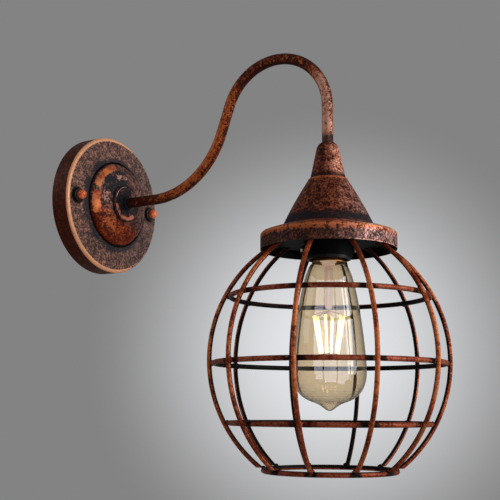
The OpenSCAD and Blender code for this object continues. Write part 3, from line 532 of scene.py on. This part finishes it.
def glowing(name, body, light, strength):
    """Coated strips: beads of pale yellow and white light, warmer at the upper tips."""
    f = Finish(name)
    low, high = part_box("filaments")
    tip = f.between(f.along((0, 0, 1)), high.z - 7 * MM, high.z)
    beads = f.blend(f.noise(1.4 * MM, detail=1), light, rgb(255, 246, 214))
    f.shader.inputs["Emission Strength"].default_value = strength
    f.feed(f.shader.inputs["Emission Color"], f.blend(tip, beads, rgb(250, 206, 92)))
    return f.set(base_color=body, roughness=0.5)


FINISHES = {
    "plate_copper": plate_finish,
    "dome_copper": dome_finish,
    "collar_copper": collar_finish,
    "nut_copper": nut_finish,
    "arm_copper": arm_finish,
    "cone_copper": cone_finish,
    "shade_copper": shade_finish,
    "wire_copper": wire_finish,
    "black_metal": black_metal,
    "socket_black": lambda: moulded("socket_black", rgb(8, 8, 8), 0.45),
    "zinc_steel": lambda: bare_metal("zinc_steel", rgb(196, 194, 186), 0.32),
    "terminal_brass": lambda: bare_metal("terminal_brass", rgb(206, 170, 96), 0.28),
    "terminal_plastic": lambda: moulded("terminal_plastic", rgb(214, 210, 198), 0.5),
    "porcelain": lambda: moulded("porcelain", rgb(232, 228, 216), 0.2, fleck=1.03),
    "live_insulation": lambda: moulded("live_insulation", rgb(118, 62, 38), 0.55),
    "neutral_insulation": lambda: moulded("neutral_insulation", rgb(44, 92, 158), 0.55),
    "earth_insulation": lambda: moulded("earth_insulation", rgb(70, 134, 54), 0.55),
    "bulb_glass": lambda: glass("bulb_glass", rgb(240, 226, 202)),
    "bulb_brass": lambda: bare_metal("bulb_brass", rgb(176, 128, 70), 0.34),
    "solder": lambda: bare_metal("solder", rgb(190, 190, 192), 0.35),
    "stem_glass": lambda: glass("stem_glass", rgb(244, 234, 236), 0.8, 0.12, lit=0.16),
    "support_wire": lambda: bare_metal("support_wire", rgb(236, 208, 204), 0.5),
    "filament": lambda: glowing("filament", rgb(255, 236, 190), rgb(255, 228, 148), 5.0),
}


def dress_nodes():
    """Gives each CAD node the finish of its slot."""
    finishes = {slot: make() for slot, make in FINISHES.items()}
    for part in frame["record"]["subparts"]:
        mesh = frame["nodes"][part["node"]].data
        mesh.materials.clear()
        mesh.materials.append(finishes[part["material_slot"]])
    return finishes


# ---- node trees ----
def adder(tree):
    """A function that adds a node to tree and gives back its outputs.

    Its inputs map a socket's name or number to a value or to another node's output.
    """
    def add(kind, inputs=None, **settings):
        node = tree.nodes.new(kind)
        for key, value in settings.items():
            setattr(node, key, value)
        for key, value in (inputs or {}).items():
            if isinstance(value, bpy.types.NodeSocket):
                tree.links.new(value, node.inputs[key])
            else:
                node.inputs[key].default_value = value
        return node.outputs
    return add


# ---- weld beads, where the ribs meet the rings ----
RIPPLE_SIZE = 2.4 * MM
RIPPLE_DEPTH = 0.9 * MM


def bead_tree(finish):
    """Beads stood in a circle: named inputs for the circle, the bead and its unevenness."""
    tree = bpy.data.node_groups.new("weld_beads", "GeometryNodeTree")
    sizes = (("Radius", "NodeSocketFloat"), ("Level", "NodeSocketFloat"), ("Turn", "NodeSocketFloat"),
             ("Count", "NodeSocketInt"), ("Bead", "NodeSocketVector"), ("Seed", "NodeSocketInt"))
    for name, kind in sizes:
        tree.interface.new_socket(name, in_out="INPUT", socket_type=kind)
    tree.interface.new_socket("Geometry", in_out="OUTPUT", socket_type="NodeSocketGeometry")
    add = adder(tree)
    given = add("NodeGroupInput")
    circle = add("GeometryNodeMeshCircle", {"Vertices": given["Count"], "Radius": given["Radius"]})
    lift = add("ShaderNodeCombineXYZ", {"Z": given["Level"]})
    spin = add("ShaderNodeCombineXYZ", {"Z": given["Turn"]})
    placed = add("GeometryNodeTransform", {"Geometry": circle["Mesh"], "Translation": lift["Vector"],
                                           "Rotation": spin["Vector"]})
    ball = add("GeometryNodeMeshIcoSphere", {"Radius": 1, "Subdivisions": 3})

    # Each bead lies along its own rib: local X runs outwards from the axis.
    place = add("GeometryNodeInputPosition")
    flat = add("ShaderNodeVectorMath", {0: place["Position"], 1: (1, 1, 0)}, operation="MULTIPLY")
    aim = add("FunctionNodeAlignRotationToVector", {"Vector": flat["Vector"]}, axis="X")
    uneven = add("FunctionNodeRandomValue", {2: 0.85, 3: 1.15, "Seed": given["Seed"]}, data_type="FLOAT")
    size = add("ShaderNodeVectorMath", {0: given["Bead"], "Scale": uneven[1]}, operation="SCALE")
    stand = add("GeometryNodeInstanceOnPoints", {"Points": placed["Geometry"], "Instance": ball["Mesh"],
                                                 "Rotation": aim["Rotation"], "Scale": size["Vector"]})
    real = add("GeometryNodeRealizeInstances", {"Geometry": stand["Instances"]})

    # Drips and ripples, pushed out along the bead's own faces.
    ripple = add("ShaderNodeTexNoise", {"Scale": 1 / RIPPLE_SIZE})
    centred = add("ShaderNodeMath", {0: ripple["Fac"], 1: 0.5}, operation="SUBTRACT")
    depth = add("ShaderNodeMath", {0: centred[0], 1: RIPPLE_DEPTH}, operation="MULTIPLY")
    out = add("GeometryNodeInputNormal")
    push = add("ShaderNodeVectorMath", {0: out["Normal"], "Scale": depth[0]}, operation="SCALE")
    rippled = add("GeometryNodeSetPosition", {"Geometry": real["Geometry"], "Offset": push["Vector"]})
    smooth = add("GeometryNodeSetShadeSmooth", {"Geometry": rippled["Geometry"]})
    dressed = add("GeometryNodeSetMaterial", {"Geometry": smooth["Geometry"], "Material": finish})
    add("NodeGroupOutput", {"Geometry": dressed["Geometry"]})
    return tree


def grown(name, tree, values):
    """A plain mesh object made by a node tree with the given inputs, about the lamp's axis."""
    seedling = bpy.data.objects.new(name + "_tree", bpy.data.meshes.new(name + "_tree"))
    bpy.context.scene.collection.objects.link(seedling)
    modifier = seedling.modifiers.new("tree", "NODES")
    modifier.node_group = tree
    sockets = {item.name: item.identifier for item in tree.interface.items_tree if item.in_out == "INPUT"}
    for key, value in values.items():
        modifier[sockets[key]] = value
    bpy.context.view_layer.update()
    evaluated = seedling.evaluated_get(bpy.context.evaluated_depsgraph_get())
    mesh = bpy.data.meshes.new_from_object(evaluated)
    bpy.data.objects.remove(seedling)
    mesh.transform(Matrix.Translation(LAMP_AXIS))
    made = bpy.data.objects.new(name, mesh)
    bpy.context.scene.collection.objects.link(made)
    return made


def rib_turn():
    """Angle of the first rib round the lamp's axis, from +X."""
    foot = middle("rib_01") - LAMP
    return math.atan2(foot.y, foot.x)


def make_welds(finishes):
    tree = bead_tree(finishes["wire_copper"])
    for seed, name in enumerate(RINGS):
        bottom = name == "ring_bottom"
        radius = ring_radius(name) + (0 if bottom else WIRE_R * 0.95)
        level = middle(name).z + (WIRE_R if bottom else 0)
        bead = (1.9 * MM, 2.7 * MM, 1.9 * MM) if bottom else (1.5 * MM, 2.4 * MM, 2.4 * MM)
        beads = grown(name.replace("ring", "welds"), tree, {
            "Radius": radius, "Level": level, "Turn": rib_turn(), "Count": len(RIBS), "Bead": bead, "Seed": seed})
        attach(beads, "fixture")


# ---- the studio ----
FLOOR_DROP = 1.1
BACKDROP_GREY = rgb(131, 131, 131)
BACKDROP_GLOW = rgb(232, 233, 236)
GLOW_AT = Vector((0.02, -0.25, -0.15))
GLOW_REACH = math.radians(14.5)
ROOM_LIGHT = (0.2, 0.2, 0.205, 1)  # what the surfaces get from all round
FLOOR_R = 2.2
# Each panel's name, direction from the lamp, distance, width and height in metres, and level
PANELS = (
    ("key", (0.2, -0.95, 0.22), 1.7, (1.0, 1.3), 0.95),
    ("front", (-0.68, -0.72, 0.1), 1.7, (0.9, 1.2), 0.14),
    ("behind", (-0.5, 0.8, 0.5), 1.7, (0.9, 0.9), 0.12),
)
WINDOW = ("window", (-0.75, -0.65, 0.35), 1.3, (4.8, 3.4), 17)


def make_world():
    """A grey backdrop with a soft glow behind the cage, and an even light from all round."""
    world = bpy.data.worlds.new("studio")
    world.use_nodes = True
    bpy.context.scene.world = world
    add = adder(world.node_tree)
    direction = add("ShaderNodeTexCoord")["Generated"]
    towards = add("ShaderNodeVectorMath", {0: direction, 1: (GLOW_AT - CAMERA_AT).normalized()},
                  operation="DOT_PRODUCT")
    angle = add("ShaderNodeMath", {0: towards["Value"]}, operation="ARCCOSINE")
    share = add("ShaderNodeMapRange", {"Value": angle[0], "From Min": GLOW_REACH, "From Max": 0},
                interpolation_type="SMOOTHSTEP")
    seen = add("ShaderNodeMix", {"Factor": share["Result"], 6: BACKDROP_GREY, 7: BACKDROP_GLOW}, data_type="RGBA")
    rays = add("ShaderNodeLightPath")
    direct = add("ShaderNodeMath", {0: rays["Is Camera Ray"], 1: rays["Is Glossy Ray"]}, operation="MAXIMUM")
    shown = add("ShaderNodeMath", {0: direct[0], 1: rays["Is Transmission Ray"]}, operation="MAXIMUM")
    picked = add("ShaderNodeMix", {"Factor": shown[0], 6: ROOM_LIGHT, 7: seen[2]}, data_type="RGBA")
    world.node_tree.links.new(picked[2], world.node_tree.nodes["Background"].inputs["Color"])


def soft_light(name, way, distance, size, level):
    """A soft panel that faces the lamp. level 1 lights a surface facing it just as its colour is written."""
    data = bpy.data.lights.new(name, "AREA")
    data.shape = "RECTANGLE"
    data.size, data.size_y = size
    data.energy = level * (math.pi * distance) ** 2
    light = bpy.data.objects.new(name, data)
    bpy.context.scene.collection.objects.link(light)
    way = Vector(way).normalized()
    light.matrix_world = Matrix.Translation(LAMP + way * distance) @ way.to_track_quat("Z", "Y").to_matrix().to_4x4()
    light.visible_camera = light.visible_transmission = False
    return light


def make_studio():
    make_world()
    for panel in PANELS:
        soft_light(*panel)
    # A wide cool panel that only the bulb's glass reflects
    window = soft_light(*WINDOW)
    window.data.color = (0.8, 0.85, 1.0)
    window.visible_diffuse = False
    only = bpy.data.collections.new("window_lights")
    only.objects.link(frame["nodes"]["bulb_glass"])
    window.light_linking.receiver_collection = only
    bpy.ops.mesh.primitive_circle_add(vertices=96, radius=FLOOR_R, fill_type="NGON",
                                      location=(0, LAMP.y, cad_box[0].z - FLOOR_DROP))
    floor = bpy.context.object
    floor.name = "floor"
    f = Finish("floor_paint")
    floor.data.materials.append(f.set(base_color=f.blend(f.noise(0.4), rgb(214, 214, 214), rgb(222, 222, 222)),
                                      roughness=0.7))
    bpy.context.scene.view_settings.view_transform = "Standard"


make_camera()
make_studio()
made_finishes = dress_nodes()
make_welds(made_finishes)
